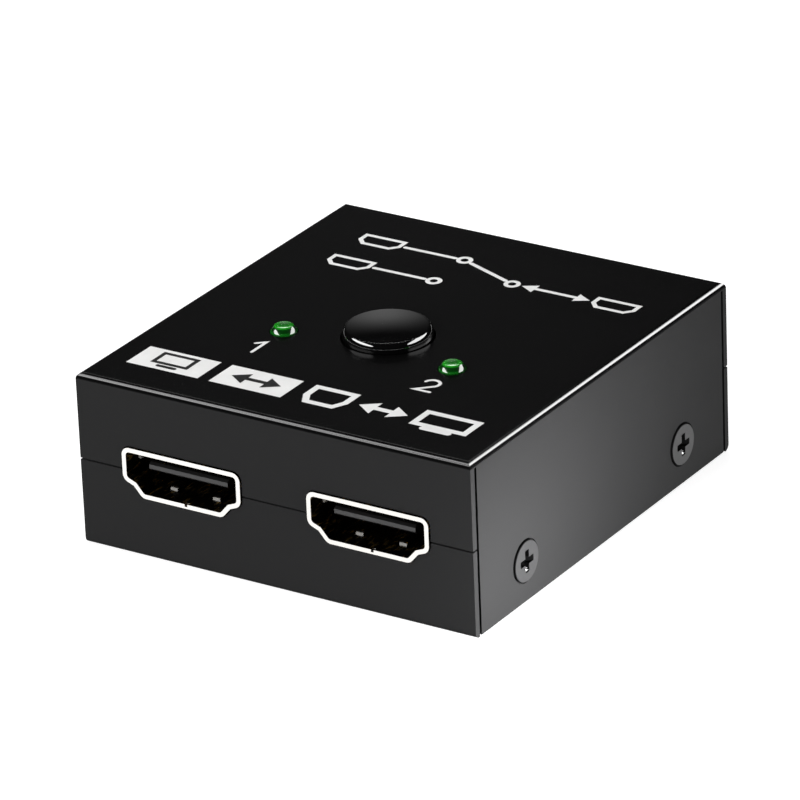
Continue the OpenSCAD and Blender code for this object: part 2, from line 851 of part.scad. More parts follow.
module bracket_tail_plan(clear) {
  for (end = [-1, 1])
    translate([0, end * (housing_w + bracket_t) / 2])
      square([bracket_tail_w + 2 * clear, bracket_t + 2 * clear], center = true);
}

module switch_bracket() {
  hole_w = stem_w + 2 * stem_clear;
  tail_bottom = board_bottom - pin_below;
  color("#b4b6b8") at_switch() difference() {
    union() {
      post(0, 0, housing_top, housing_w, housing_w + 2 * bracket_t, bracket_t);
      for (end = [-1, 1])
        post(0, end * (housing_w + bracket_t) / 2, board_top, bracket_leg_w, bracket_t,
             housing_h + bracket_t);
      translate([0, 0, tail_bottom])
        linear_extrude(board_top - tail_bottom + fuse) bracket_tail_plan(0);
    }
    post(0, 0, housing_top - over, hole_w, hole_w, bracket_t + 2 * over);
  }
}

// Plan of the switch's two rows of three terminals.
module terminal_plan(clear) {
  for (side = [-1, 1], k = [-1:1])
    translate([side * (cavity_w + terminal_t) / 2, k * terminal_pitch])
      square([terminal_t + 2 * clear, terminal_w + 2 * clear], center = true);
}

// The terminals stand in the housing's walls; the rear one of each row is shorter.
module terminal_posts() {
  foot_z = board_bottom - pin_below;
  tall_z = slider_top - blade_drop;
  short_z = tall_z - blade_h - button_travel / 2;
  for (side = [-1, 1], k = [-1:1])
    post(side * (cavity_w + terminal_t) / 2, k * terminal_pitch, foot_z, terminal_t, terminal_w,
         (k == 1 ? short_z : tall_z) - foot_z);
}

module switch_terminals() {
  color("#d0cfc8") at_switch() terminal_posts();
}

module switch_chip() {
  color("#1d1d20") post(0, chip_y, board_top + chip_lift, chip_w, chip_w, chip_h);
}

// Gull-wing leads round the chip: shoulder, leg and foot.
module chip_leads() {
  mid = board_top + chip_lift + chip_h / 2;
  from = chip_w / 2;
  knee = from + chip_shoulder;
  to = from + chip_lead_reach;
  t = chip_lead_t;
  color("#c4c6c8") translate([0, chip_y, 0])
    for (edge = [0:3], k = [0:chip_lead_n - 1])
      rotate(90 * edge) translate([(k - (chip_lead_n - 1) / 2) * chip_lead_pitch, 0, 0])
        along_x(chip_lead_w)
          polygon([[from, mid], [from, mid + t], [knee, mid + t], [knee + t, board_top + t],
                   [to, board_top + t], [to, board_top], [knee, board_top], [knee - t, mid]]);
}

// A column of three small parts on each side of the chip.
module small_columns(x, height) {
  for (side = [-1, 1], k = [-1:1])
    post(side * x, chip_y + k * small_pitch, board_top, small_l, small_w, height);
}

module capacitors() {
  color("#a58a62") small_columns(small_x, capacitor_h);
}

module resistors() {
  color("#232326") small_columns(small_x + small_l + small_gap, resistor_h);
}

module surge_arrays() {
  color("#1b1b1e")
    for (side = [-1, 1], x = [array_x - array_spread, array_x])
      post(side * x, array_y, board_top, array_l, array_w, array_h);
}

top_cover();
bottom_tray();
side_screws();
circuit_board();
board_standoffs();
board_screws();
port_shell(0);  // port_1_shell
port_insulator(0);  // port_1_insulator
port_contacts(0);  // port_1_contacts
port_shell(1);  // port_2_shell
port_insulator(1);  // port_2_insulator
port_contacts(1);  // port_2_contacts
port_shell(2);  // common_port_shell
port_insulator(2);  // common_port_insulator
port_contacts(2);  // common_port_contacts
led_lens(-1);  // led_1_lens
led_leads(-1);  // led_1_leads
led_lens(1);  // led_2_lens
led_leads(1);  // led_2_leads
button_cap();
switch_plunger();
moving_contacts();
return_spring();
latch_pin();
switch_housing();
switch_bracket();
switch_terminals();
switch_chip();
chip_leads();
capacitors();
resistors();
surge_arrays();
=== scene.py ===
"""Looks of the two-way video switch box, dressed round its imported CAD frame.

Lengths are in metres in the CAD frame: X to the right, Y to the back, Z up, origin under the case.
Values named _MM are in millimetres, and so are the points of the print on the roof.
"""

import json
import math

import bmesh
import bpy
from mathutils import Matrix, Vector


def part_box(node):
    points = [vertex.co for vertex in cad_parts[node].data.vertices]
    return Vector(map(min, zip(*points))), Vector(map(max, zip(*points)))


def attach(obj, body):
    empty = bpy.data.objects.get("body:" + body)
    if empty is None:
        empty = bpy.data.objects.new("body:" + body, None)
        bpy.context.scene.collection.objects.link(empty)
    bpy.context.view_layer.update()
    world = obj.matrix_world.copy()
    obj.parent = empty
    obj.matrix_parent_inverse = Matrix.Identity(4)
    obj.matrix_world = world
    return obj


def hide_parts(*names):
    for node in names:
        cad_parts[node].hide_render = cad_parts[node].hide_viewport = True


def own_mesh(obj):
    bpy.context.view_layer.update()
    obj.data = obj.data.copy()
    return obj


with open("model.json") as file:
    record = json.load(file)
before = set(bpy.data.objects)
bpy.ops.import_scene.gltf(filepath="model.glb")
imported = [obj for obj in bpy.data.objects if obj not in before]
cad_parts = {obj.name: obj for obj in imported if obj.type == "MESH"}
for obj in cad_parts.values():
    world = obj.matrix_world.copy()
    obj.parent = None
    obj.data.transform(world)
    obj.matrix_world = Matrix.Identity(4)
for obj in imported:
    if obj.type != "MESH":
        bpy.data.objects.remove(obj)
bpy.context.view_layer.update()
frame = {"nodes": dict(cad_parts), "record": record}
nodes = frame["nodes"]
scene = bpy.context.scene

MM = 0.001
ROOF_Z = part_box("top_cover")[1].z
BACK_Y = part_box("top_cover")[1].y


# Camera

CAMERA_AZIMUTH = math.radians(33.2544)
CAMERA_ELEVATION = math.radians(24.4284)
CAMERA_ROLL = math.radians(-2.3062)
CAMERA_DISTANCE = 682.42 * MM
CAMERA_ASIDE = -1.195 * MM
CAMERA_RISE = 10.335 * MM
CAMERA_LENS_MM = 283.05
CAMERA_SENSOR_MM = 36.0


def make_camera():
    """The photograph's viewpoint: a long lens, turned about its axis by a small roll."""
    level = math.cos(CAMERA_ELEVATION)
    back = Vector((math.sin(CAMERA_AZIMUTH) * level, -math.cos(CAMERA_AZIMUTH) * level,
                   math.sin(CAMERA_ELEVATION)))
    aside = Vector((math.cos(CAMERA_AZIMUTH), math.sin(CAMERA_AZIMUTH), 0.0))
    above = back.cross(aside)
    right = aside * math.cos(CAMERA_ROLL) + above * math.sin(CAMERA_ROLL)
    up = above * math.cos(CAMERA_ROLL) - aside * math.sin(CAMERA_ROLL)
    data = bpy.data.cameras.new("camera")
    data.lens = CAMERA_LENS_MM
    data.sensor_width = CAMERA_SENSOR_MM
    camera = bpy.data.objects.new("camera", data)
    turn = Matrix((right, up, back)).transposed().to_4x4()
    place = right * CAMERA_ASIDE + up * CAMERA_RISE + back * CAMERA_DISTANCE
    camera.matrix_world = Matrix.Translation(place) @ turn
    scene.collection.objects.link(camera)
    scene.camera = camera


# Material building blocks

# A Mix node's sockets share their names, so they are told apart by their places
MIX_VALUES = (2, 3)
MIXED_VALUE = 0
MIX_COLOURS = (6, 7)
MIXED_COLOUR = 2

# Range in which most of a noise texture lies
NOISE_LOW = 0.3
NOISE_HIGH = 0.7


def new_look(name, colour, roughness, **sockets):
    """A material whose Principled shader has these plain socket values."""
    look = bpy.data.materials.new(name)
    look.use_nodes = True
    shader = shader_of(look)
    shader.inputs["Base Color"].default_value = (*colour, 1.0)
    shader.inputs["Roughness"].default_value = roughness
    for socket, value in sockets.items():
        shader.inputs[socket.replace("_", " ")].default_value = value
    return look


def shader_of(look):
    return look.node_tree.nodes["Principled BSDF"]


def add_node(look, kind, **values):
    """A node with these values on its sockets; a spaced socket name is written with underscores."""
    node = look.node_tree.nodes.new(kind)
    for socket, value in values.items():
        node.inputs[socket.replace("_", " ")].default_value = value
    return node


def join(look, source, target):
    look.node_tree.links.new(source, target)


def noise(look, size, detail=2.0, stretch=(1.0, 1.0, 1.0)):
    """Noise fixed to the piece, with features of about this size."""
    place = add_node(look, "ShaderNodeTexCoord")
    mapping = add_node(look, "ShaderNodeMapping", Scale=stretch)
    texture = add_node(look, "ShaderNodeTexNoise", Scale=1.0 / size, Detail=detail)
    join(look, place.outputs["Object"], mapping.inputs["Vector"])
    join(look, mapping.outputs["Vector"], texture.inputs["Vector"])
    return texture.outputs["Fac"]


def spread(look, source, low, high):
    """A noise texture brought to run from low to high."""
    ranged = add_node(look, "ShaderNodeMapRange", From_Min=NOISE_LOW, From_Max=NOISE_HIGH,
                      To_Min=low, To_Max=high)
    join(look, source, ranged.inputs["Value"])
    return ranged.outputs["Result"]


def times(look, first, second):
    product = add_node(look, "ShaderNodeMath")
    product.operation = "MULTIPLY"
    join(look, first, product.inputs[0])
    join(look, second, product.inputs[1])
    return product.outputs["Value"]


def mix_values(look, factor, first, last):
    """Runs from one value's source to another's as the factor goes from 0 to 1."""
    mix = add_node(look, "ShaderNodeMix")
    join(look, factor, mix.inputs["Factor"])
    for place, value in zip(MIX_VALUES, (first, last)):
        join(look, value, mix.inputs[place])
    return mix.outputs[MIXED_VALUE]


def mix_colours(look, factor, first, last):
    """Sets the base colour, the first at factor 0 and the last at factor 1, and gives its source.
    Each of the two is a colour or a source."""
    mix = add_node(look, "ShaderNodeMix")
    mix.data_type = "RGBA"
    for place, colour in zip(MIX_COLOURS, (first, last)):
        if isinstance(colour, tuple):
            mix.inputs[place].default_value = (*colour, 1.0)
        else:
            join(look, colour, mix.inputs[place])
    join(look, factor, mix.inputs["Factor"])
    join(look, mix.outputs[MIXED_COLOUR], shader_of(look).inputs["Base Color"])
    return mix.outputs[MIXED_COLOUR]


def vary_roughness(look, size, low, high, detail=3.0):
    join(look, spread(look, noise(look, size, detail), low, high), shader_of(look).inputs["Roughness"])


def vary_colour(look, size, dark, light, detail=3.0):
    mix_colours(look, spread(look, noise(look, size, detail), 0.0, 1.0), dark, light)


def along(look, axis, start, end, source="Object"):
    """Goes from 0 to 1 between two distances from the origin along an axis, on both sides of it."""
    place = add_node(look, "ShaderNodeTexCoord")
    parts = add_node(look, "ShaderNodeSeparateXYZ")
    distance = add_node(look, "ShaderNodeMath")
    distance.operation = "ABSOLUTE"
    ranged = add_node(look, "ShaderNodeMapRange", From_Min=start, From_Max=end)
    join(look, place.outputs[source], parts.inputs["Vector"])
    join(look, parts.outputs[axis], distance.inputs[0])
    join(look, distance.outputs["Value"], ranged.inputs["Value"])
    return ranged.outputs["Result"]


def short_of(look, axis, level, start, end):
    """Goes from 0 to 1 between two distances short of a level on an axis."""
    return along(look, axis, level - start, level - end)


def facing(look, axis, start, end):
    """Goes from 0 to 1 between two shares of the surface's normal that lie along an axis, either way."""
    return along(look, axis, start, end, "Normal")


def ramp(look, source, stops):
    """Runs in straight steps through stops, each a place and a colour or a plain number."""
    node = add_node(look, "ShaderNodeValToRGB")
    elements = node.color_ramp.elements
    while len(elements) < len(stops):
        elements.new(1.0)
    for element, (place, value) in zip(elements, stops):
        element.position = place
        element.color = (*(value if isinstance(value, tuple) else (value,) * 3), 1.0)
    join(look, source, node.inputs["Fac"])
    return node.outputs["Color"]


def add_bump(look, source, depth):
    """Bump of this depth from a texture, laid over any bump that is there already."""
    bump = add_node(look, "ShaderNodeBump", Distance=depth, Strength=1.0)
    target = shader_of(look).inputs["Normal"]
    if target.is_linked:
        join(look, target.links[0].from_socket, bump.inputs["Normal"])
    join(look, source, bump.inputs["Height"])
    join(look, bump.outputs["Normal"], target)


# Materials

SIDE_PAINT = (0.024, 0.024, 0.0244)
ROOF_PAINT = (0.0027, 0.0027, 0.0028)
BEND_R = 0.7 * MM
# Over the height of the bends: where the roof's paint sets in, and how strong the burnish is
ROOF_STOPS = ((0.0, 0.0), (0.15, 1.0))
BURNISH_STOPS = ((0.0, 0.0), (0.54, 0.0), (0.6, 1.0), (0.93, 1.0), (0.985, 0.12))
# Depth behind the front and back faces from which a face turned lengthwise gets painted shade
SLIT_DEPTH = 0.1 * MM


def paint_look():
    """Black case paint: satin with fine orange peel on the sides, deeper and smoother on the roof,
    burnished along the bends round it, and with painted shade, the roof's darker paint, on faces turned
    lengthwise behind the front and back faces, as inside the corner slits."""
    look = new_look("case_paint", SIDE_PAINT, 0.4, Specular_IOR_Level=0.03, Coat_Roughness=0.14,
                    Coat_IOR=1.9)
    height = along(look, "Z", ROOF_Z - BEND_R, ROOF_Z)
    roof = ramp(look, height, ROOF_STOPS)
    join(look, ramp(look, height, BURNISH_STOPS), shader_of(look).inputs["Coat Weight"])
    satin = spread(look, noise(look, 6 * MM), 0.37, 0.43)
    smooth = spread(look, noise(look, 9 * MM), 0.2, 0.25)
    join(look, mix_values(look, roof, satin, smooth), shader_of(look).inputs["Roughness"])
    outside = mix_colours(look, roof, SIDE_PAINT, ROOF_PAINT)
    # Painted shade: faces turned lengthwise deeper than SLIT_DEPTH, as in the corner slits, take the roof's
    # darker paint
    painted_slit_shade = times(look, facing(look, "Y", 0.5, 0.7), short_of(look, "Y", BACK_Y, 0.0, SLIT_DEPTH))
    mix_colours(look, painted_slit_shade, outside, ROOF_PAINT)
    add_bump(look, noise(look, 0.45 * MM, 1.0), 0.0006 * MM)
    add_bump(look, noise(look, 5 * MM, 1.0), 0.002 * MM)
    return look


def metal_look(name, colour, low, high):
    """Plated or bare metal with uneven polish, from low to high roughness, and fine tooling marks."""
    look = new_look(name, colour, low, Metallic=1.0)
    vary_roughness(look, 1.2 * MM, low, high)
    add_bump(look, noise(look, 0.25 * MM), 0.0006 * MM)
    return look


def plastic_look(name, dark, light, low, high, grain=0.12 * MM, depth=0.002 * MM):
    """Moulded plastic, epoxy or ink: slight colour drift and a fine texture, from low to high roughness."""
    look = new_look(name, light, low)
    vary_colour(look, 3 * MM, dark, light)
    vary_roughness(look, 0.8 * MM, low, high)
    add_bump(look, noise(look, grain), depth)
    return look


SCREW_FACE = (0.022, 0.022, 0.0228)
SCREW_DARK = (0.002, 0.002, 0.0021)
# Bright bare metal of the painted glint in the recess
SCREW_GLINT_METAL = (0.8, 0.8, 0.8)
# Pairs of distances between which a mark sets in: the worn face and the painted glint by their depth under
# the head's top, and the painted glint by its drop below the screw's axis
WORN_DEPTH = (0.04 * MM, 0.02 * MM)
GLINT_DEPTH = (0.12 * MM, 0.16 * MM)
GLINT_DROP = (0.9 * MM, 1.0 * MM)


def screw_look():
    """Black-passivated side screws: a face worn pale and dull, the edge and the recess still black,
    and a painted glint: bright bare metal on the slanted end facets below the axis, which mirror a lamp."""
    look = new_look("screw_steel", SCREW_FACE, 0.5, Specular_IOR_Level=0.05, Coat_Roughness=0.5,
                    Coat_IOR=1.6)
    shader = shader_of(look)
    low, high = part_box("side_screws")
    axis_z = (low.z + high.z) / 2
    worn = short_of(look, "X", high.x, *WORN_DEPTH)
    join(look, worn, shader.inputs["Coat Weight"])
    slanting = times(look, facing(look, "X", 0.3, 0.5), facing(look, "Z", 0.3, 0.5))
    recess = times(look, slanting, short_of(look, "X", high.x, *GLINT_DEPTH))
    # Painted glint: only these lower slanted facets are bright bare metal, so that they mirror a lamp
    painted_glint = times(look, recess, short_of(look, "Z", axis_z, *GLINT_DROP))
    mix_colours(look, painted_glint, mix_colours(look, worn, SCREW_DARK, SCREW_FACE), SCREW_GLINT_METAL)
    join(look, painted_glint, shader.inputs["Metallic"])
    sleek = spread(look, noise(look, 0.3 * MM), 0.12, 0.2)
    dull = spread(look, noise(look, 0.5 * MM), 0.5, 0.62)
    join(look, mix_values(look, painted_glint, dull, sleek), shader.inputs["Roughness"])
    add_bump(look, noise(look, 0.15 * MM), 0.0008 * MM)
    return look


SHELL_RIM = (0.95, 0.93, 0.89)
# Painted shade inside the shells, painted amber reflections of the gilt contacts streaked through it, and
# painted light, a matt grey, on the fingers' ends
SHELL_PAINTED_SHADE = (0.05, 0.04, 0.025)
SHELL_PAINTED_AMBER = (0.9, 0.6, 0.17)
SHELL_PAINTED_STREAKS = ((0.0, SHELL_PAINTED_SHADE), (0.54, SHELL_PAINTED_SHADE), (0.68, SHELL_PAINTED_AMBER))
SHELL_TIP_LIGHT = (0.4, 0.39, 0.37)
# Depths behind the rim between which the fingers' ends get painted light, with a fade at both
TIP_START = 2.42 * MM
TIP_END = 2.6 * MM
TIP_FADE = 0.05 * MM


def shell_look():
    """Nickel-plated socket shells: bright nickel where they face the front; painted shade, dull and dark,
    inside, streaked with painted amber reflections of the gilt contacts; and painted light, a matt grey,
    on the fingers' ends."""
    look = new_look("socket_shell", SHELL_RIM, 0.2, Metallic=1.0)
    shader = shader_of(look)
    rim = facing(look, "Y", 0.15, 0.35)
    # Painted shade inside, streaked with painted amber reflections; the rim keeps the nickel's own colour
    inside = ramp(look, noise(look, 0.5 * MM, 2.0, (1.0, 0.3, 1.0)), SHELL_PAINTED_STREAKS)
    plating_and_shade = mix_colours(look, rim, inside, SHELL_RIM)
    front = -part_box("port_1_shell")[0].y
    edge = times(look, short_of(look, "Y", front, TIP_END, TIP_END - TIP_FADE),
                 short_of(look, "Y", front, TIP_START, TIP_START + TIP_FADE))
    # Painted light: the fingers' ends turned to the front are matt grey instead of metal
    tip_light = times(look, edge, facing(look, "Y", 0.4, 0.5))
    mix_colours(look, tip_light, plating_and_shade, SHELL_TIP_LIGHT)
    join(look, ramp(look, tip_light, ((0.0, 1.0), (1.0, 0.0))), shader.inputs["Metallic"])
    dull = spread(look, noise(look, 0.8 * MM), 0.3, 0.42)
    bright = spread(look, noise(look, 1.2 * MM), 0.16, 0.24)
    join(look, mix_values(look, rim, dull, bright), shader.inputs["Roughness"])
    add_bump(look, noise(look, 0.25 * MM), 0.0006 * MM)
    return look


# Painted light on the flat of the tongue's tip, over the moulding's own black
TONGUE_PAINTED_LIGHT = (0.085, 0.085, 0.086)
TONGUE_DARK = (0.005, 0.005, 0.0052)
# Depths behind the tongue's tip between which its painted light sets in
LIT_FACE_DEPTH = (0.01 * MM, 0.005 * MM)


def insulator_look():
    """Moulded black insulators, with painted light, a pale grey, on the flat of the tongue's tip."""
    look = new_look("socket_plastic", TONGUE_DARK, 0.6, Specular_IOR_Level=0.15)
    front = -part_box("port_1_insulator")[0].y
    # Painted light: the flat of the tongue's tip is paler grey
    mix_colours(look, short_of(look, "Y", front, *LIT_FACE_DEPTH), TONGUE_DARK, TONGUE_PAINTED_LIGHT)
    vary_roughness(look, 0.8 * MM, 0.55, 0.65)
    add_bump(look, noise(look, 0.12 * MM), 0.002 * MM)
    return look


# Painted highlight, plain tint and painted shade of the lens's bands
LENS_PAINTED_LIGHT = (0.015, 0.38, 0.015)
LENS_MIDDLE = (0.006, 0.17, 0.01)
LENS_PAINTED_SHADE = (0.001, 0.045, 0.003)
# Painted light and shade in bands by height, from the roof, at 0, up to the top of the CAD lens, at 1
LENS_PAINTED_BANDS = ((0.0, LENS_MIDDLE), (0.18, LENS_MIDDLE), (0.3, LENS_PAINTED_SHADE), (0.56, LENS_PAINTED_SHADE),
              (0.68, LENS_PAINTED_LIGHT), (0.77, LENS_PAINTED_LIGHT), (0.81, LENS_MIDDLE))


def lens_look():
    """Green tinted epoxy of the indicators, with light and shade painted in bands by height: a painted
    highlight band near the top, the plain tint along the foot, and painted shade between,
    all under a clear gloss."""
    look = new_look("indicator_lens", LENS_MIDDLE, 0.2, Coat_Weight=1.0, Coat_Roughness=0.02, Coat_IOR=2.4)
    height = along(look, "Z", ROOF_Z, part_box("led_1_lens")[1].z)
    join(look, ramp(look, height, LENS_PAINTED_BANDS), shader_of(look).inputs["Base Color"])
    vary_roughness(look, 0.6 * MM, 0.15, 0.25)
    return look


CAP_BLACK = (0.002, 0.002, 0.0021)


def cap_look():
    """Polished black cap under a hard clear coat."""
    look = new_look("cap_plastic", CAP_BLACK, 0.06, IOR=2.1, Coat_Weight=1.0, Coat_IOR=2.1,
                    Coat_Roughness=0.03)
    vary_roughness(look, 0.8 * MM, 0.05, 0.08)
    add_bump(look, noise(look, 0.5 * MM), 0.0002 * MM)
    return look


BOARD_DARK = (0.006, 0.009, 0.007)
BOARD_LIGHT = (0.010, 0.016, 0.012)


def board_look():
    """Solder mask over copper: faint track relief and colour drift."""
    look = new_look("board_laminate", BOARD_LIGHT, 0.3)
    vary_colour(look, 1.4 * MM, BOARD_DARK, BOARD_LIGHT, 1.0)
    add_bump(look, noise(look, 0.9 * MM, 1.0, (1.0, 0.2, 1.0)), 0.02 * MM)
    return look


# Colour, then lowest and highest roughness
METALS = {
    "standoff_brass": ((0.72, 0.53, 0.24), 0.22, 0.34),
    "board_screw_steel": ((0.56, 0.56, 0.55), 0.25, 0.36),
    "contact_gold": ((0.90, 0.62, 0.22), 0.15, 0.25),
    "tinned_lead": ((0.66, 0.66, 0.63), 0.28, 0.42),
    "bracket_steel": ((0.58, 0.58, 0.58), 0.28, 0.4),
    "spring_steel": ((0.50, 0.50, 0.51), 0.25, 0.35),
    "blade_bronze": ((0.68, 0.46, 0.22), 0.25, 0.35),
}
# Dark and light colour, then lowest and highest roughness
PLASTICS = {
    "plunger_plastic": ((0.66, 0.64, 0.57), (0.74, 0.72, 0.66), 0.4, 0.5),
    "switch_plastic": ((0.020, 0.020, 0.022), (0.03, 0.03, 0.033), 0.45, 0.55),
    "chip_epoxy": ((0.018, 0.018, 0.019), (0.028, 0.028, 0.03), 0.5, 0.6),
    "capacitor_ceramic": ((0.25, 0.17, 0.09), (0.32, 0.22, 0.12), 0.4, 0.5),
    "resistor_ceramic": ((0.02, 0.02, 0.022), (0.035, 0.035, 0.038), 0.35, 0.45),
}
INKS = {
    "print_ink": ((0.80, 0.80, 0.79), (0.86, 0.86, 0.85), 0.5, 0.6),
    "print_dark": ((0.004, 0.004, 0.0042), (0.006, 0.006, 0.0063), 0.4, 0.5),
}
INK_GRAIN = 0.2 * MM
INK_RELIEF = 0.001 * MM


def make_looks():
    """A look for each material slot, and the dark ink of the badges' marks."""
    looks = {
        "case_paint": paint_look(),
        "screw_steel": screw_look(),
        "board_laminate": board_look(),
        "socket_shell": shell_look(),
        "socket_plastic": insulator_look(),
        "indicator_lens": lens_look(),
        "cap_plastic": cap_look(),
    }
    for name, values in METALS.items():
        looks[name] = metal_look(name, *values)
    for name, values in PLASTICS.items():
        looks[name] = plastic_look(name, *values)
    for name, values in INKS.items():
        looks[name] = plastic_look(name, *values, INK_GRAIN, INK_RELIEF)
    return looks


def dress_nodes(looks):
    """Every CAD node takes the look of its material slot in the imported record."""
    for part in frame["record"]["subparts"]:
        piece = nodes[part["node"]]
        for slot in piece.material_slots:
            slot.material = looks[part["material_slot"]]


# Pieces

# A turned profile's point with a smaller radius lies on the axis
AXIS_R = 1e-9


def add_piece(name, mesh, look, body):
    """Links a new mesh piece that rides on a CAD body."""
    piece = bpy.data.objects.new(name, mesh)
    mesh.materials.append(look)
    scene.collection.objects.link(piece)
    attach(piece, body)
    return piece


def mesh_from(name, build, smooth_angle):
    """A mesh filled in by build(bm), shaded smooth up to an angle between faces."""
    mesh = bpy.data.meshes.new(name)
    bm = bmesh.new()
    build(bm)
    bmesh.ops.recalc_face_normals(bm, faces=bm.faces)
    bm.to_mesh(mesh)
    bm.free()
    mesh.shade_smooth()
    mesh.set_sharp_from_angle(angle=smooth_angle)
    return mesh


def lathe(bm, centre, profile, steps):
    """Turns a profile of (radius, height) points, from axis to axis, about an upright axis."""
    rings = []
    for radius, height in profile:
        if radius < AXIS_R:
            rings.append([bm.verts.new((centre.x, centre.y, height))])
            continue
        ring = []
        for step in range(steps):
            turn = 2 * math.pi * step / steps
            ring.append(bm.verts.new((centre.x + radius * math.cos(turn),
                                      centre.y + radius * math.sin(turn), height)))
        rings.append(ring)
    for low, high in zip(rings, rings[1:]):
        for step in range(steps):
            after = (step + 1) % steps
            corners = [low[step % len(low)], low[after % len(low)],
                       high[after % len(high)], high[step % len(high)]]
            corners = list(dict.fromkeys(corners))
            if len(corners) > 2:
                bm.faces.new(corners)


def arc(centre, radius, start, end, count):
    """Points of an arc in a profile, from one angle to another in degrees."""
    points = []
    for step in range(count + 1):
        turn = math.radians(start + (end - start) * step / count)
        points.append((centre[0] + radius * math.cos(turn), centre[1] + radius * math.sin(turn)))
    return points


def arc_from(point, radius, start, end, count=8):
    """Points of an arc that goes on from a point where the surface faces the start angle."""
    turn = math.radians(start)
    centre = (point[0] - radius * math.cos(turn), point[1] - radius * math.sin(turn))
    return arc(centre, radius, start, end, count)[1:]


CAP_EDGE_R = 1.2 * MM
CAP_EDGE_W = 0.35 * MM
CAP_CREASE_R = 0.06 * MM
CAP_DOME = 0.25 * MM
CAP_WALL = 1.1 * MM
CAP_ROOF = 1.4 * MM
CAP_STEPS = 128
CAP_ARC_STEPS = 16
CAP_CREASE_STEPS = 6
CAP_SMOOTH = math.radians(15.0)


def cap_profile(radius, low_z, high_z):
    """Hollow underside, straight wall, round shoulder, rounded crease and shallow dome."""
    edge_z = high_z - CAP_DOME
    dome_edge_r = radius - CAP_EDGE_W
    shoulder = math.degrees(math.acos((CAP_EDGE_R - CAP_EDGE_W) / CAP_EDGE_R))
    shoulder_z = edge_z - CAP_EDGE_R * math.sin(math.radians(shoulder))
    dome_r = (dome_edge_r ** 2 + CAP_DOME ** 2) / (2 * CAP_DOME)
    dome_start = 90.0 - math.degrees(math.asin(dome_edge_r / dome_r))
    middle = math.radians((shoulder + dome_start) / 2)
    half_turn = math.radians((dome_start - shoulder) / 2)
    crease_in = CAP_CREASE_R / math.cos(half_turn)
    crease = (dome_edge_r - crease_in * math.cos(middle), edge_z - crease_in * math.sin(middle))
    shoulder_end = shoulder - math.degrees(CAP_CREASE_R * math.tan(half_turn) / CAP_EDGE_R)
    inner_r = radius - CAP_WALL
    profile = [(0.0, edge_z - CAP_ROOF), (inner_r, edge_z - CAP_ROOF), (inner_r, low_z), (radius, low_z)]
    profile += arc((radius - CAP_EDGE_R, shoulder_z), CAP_EDGE_R, 0.0, shoulder_end, CAP_ARC_STEPS)
    profile += arc(crease, CAP_CREASE_R, shoulder, dome_start, CAP_CREASE_STEPS)
    profile += arc((0.0, high_z - dome_r), dome_r, dome_start, 90.0, CAP_ARC_STEPS)[1:]
    return profile


def make_cap(look):
    """The push button's cap."""
    low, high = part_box("button_cap")
    centre = (low + high) / 2
    profile = cap_profile((high.x - low.x) / 2, low.z, high.z)
    mesh = mesh_from("cap", lambda bm: lathe(bm, centre, profile, CAP_STEPS), CAP_SMOOTH)
    cap = add_piece("cap", mesh, look, "button")
    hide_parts("button_cap")


LENS_R = 1.5 * MM
# Radius, start and end in degrees of each arc from the barrel up to the dome
LENS_ARCS = ((0.3 * MM, 0.0, 32.0), (2.6 * MM, 32.0, 47.0), (0.25 * MM, 47.0, 80.0))
LENS_FLANGE_H = 1.0 * MM
LENS_STEPS = 72
LENS_SMOOTH = math.radians(30.0)


def lens_profile(flange_r, low_z):
    """Flange, straight barrel, bulging sides that lean in, round edge and shallow dome.
    The arcs above the barrel run on from each other, and the dome's reaches the axis."""
    flange_z = low_z + LENS_FLANGE_H
    profile = [(0.0, low_z), (flange_r, low_z), (flange_r, flange_z), (LENS_R, flange_z), (LENS_R, ROOF_Z)]
    for radius, start, end in LENS_ARCS:
        profile += arc_from(profile[-1], radius, start, end)
    dome_start = LENS_ARCS[-1][2]
    dome_r = profile[-1][0] / math.cos(math.radians(dome_start))
    profile += arc_from(profile[-1], dome_r, dome_start, 90.0)
    top_z = profile.pop()[1]
    profile.append((0.0, top_z))
    return profile


def make_lens(number, look):
    """An indicator's lens, on the axis of its leads."""
    node = f"led_{number}_lens"
    low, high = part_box(node)
    lead_low, lead_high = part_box(f"led_{number}_leads")
    centre = Vector(((lead_low.x + lead_high.x) / 2, (low.y + high.y) / 2, 0.0))
    profile = lens_profile((high.y - low.y) / 2, low.z)
    mesh = mesh_from(f"lens_{number}", lambda bm: lathe(bm, centre, profile, LENS_STEPS), LENS_SMOOTH)
    lens = add_piece(f"lens_{number}", mesh, look, "case")
    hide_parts(node)


SPRING_WIRE_R = 0.125 * MM
SPRING_TURNS = 4.5
SPRING_STEPS = 36
SPRING_SIDES = 12
SPRING_SMOOTH = math.radians(50.0)


